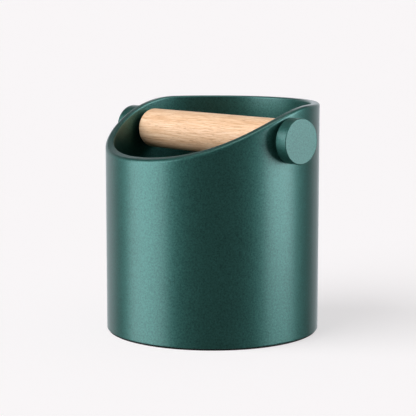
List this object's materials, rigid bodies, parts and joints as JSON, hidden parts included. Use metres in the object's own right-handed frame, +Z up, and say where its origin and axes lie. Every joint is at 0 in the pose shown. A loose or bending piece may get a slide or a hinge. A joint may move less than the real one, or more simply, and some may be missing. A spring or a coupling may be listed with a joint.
{
  "type": "knock box",
  "caption": "Round metal coffee knock box with a wave-cut rim and a wooden knock bar that turns on a removable axle.",
  "frame": {"origin": "centre of the foot, on the surface that the box stands on", "axes": "+Z up; +X along the knock bar, towards the knob that unscrews; -Y towards the low side of the rim"},
  "size_m": [0.1288, 0.112, 0.12],
  "materials": {
    "green_metal": "satin",
    "steel": "satin",
    "brass": "satin",
    "oak": "satin",
    "rubber": "matte",
    "nylon": "matte"
  },
  "bodies": {
    "container": {"body_shell": "green_metal", "floor_plate": "green_metal", "floor_gasket": "rubber", "foot_ring": "rubber", "floor_screw_1": "steel", "floor_screw_2": "steel", "floor_screw_3": "steel", "floor_screw_4": "steel", "right_wall_bush": "rubber", "left_wall_bush": "rubber"},
    "knock_bar": {"bar_sleeve": "oak", "right_bar_bush": "brass", "left_bar_bush": "brass", "right_thrust_washer": "nylon", "left_thrust_washer": "nylon"},
    "axle": {"axle_rod": "steel", "left_knob": "green_metal", "left_knob_set_screw": "steel", "left_knob_washer": "steel"},
    "right_washer": {"right_knob_washer": "steel"},
    "right_knob": {"right_knob": "green_metal"}
  },
  "joints": [
    {"name": "bar_spin", "type": "hinge", "parent": "container", "child": "knock_bar", "pos_m": [0, 0, 0.1036], "axis": [1, 0, 0], "continuous": true},
    {"name": "axle_pull", "type": "slide", "parent": "container", "child": "axle", "axis": [-1, 0, 0], "range_m": [0, 0.113]},
    {"name": "right_knob_travel", "type": "slide", "parent": "container", "child": "right_washer", "axis": [1, 0, 0], "range_m": [0, 0.005]},
    {"name": "right_knob_turn", "type": "hinge", "parent": "right_washer", "child": "right_knob", "pos_m": [0.0576, 0, 0.1036], "axis": [1, 0, 0], "range_deg": [0, 1800]}
  ],
  "couplings": [
    {"joint": "right_knob_travel", "follows": "right_knob_turn", "m_per_rad": 0.00015915}
  ]
}
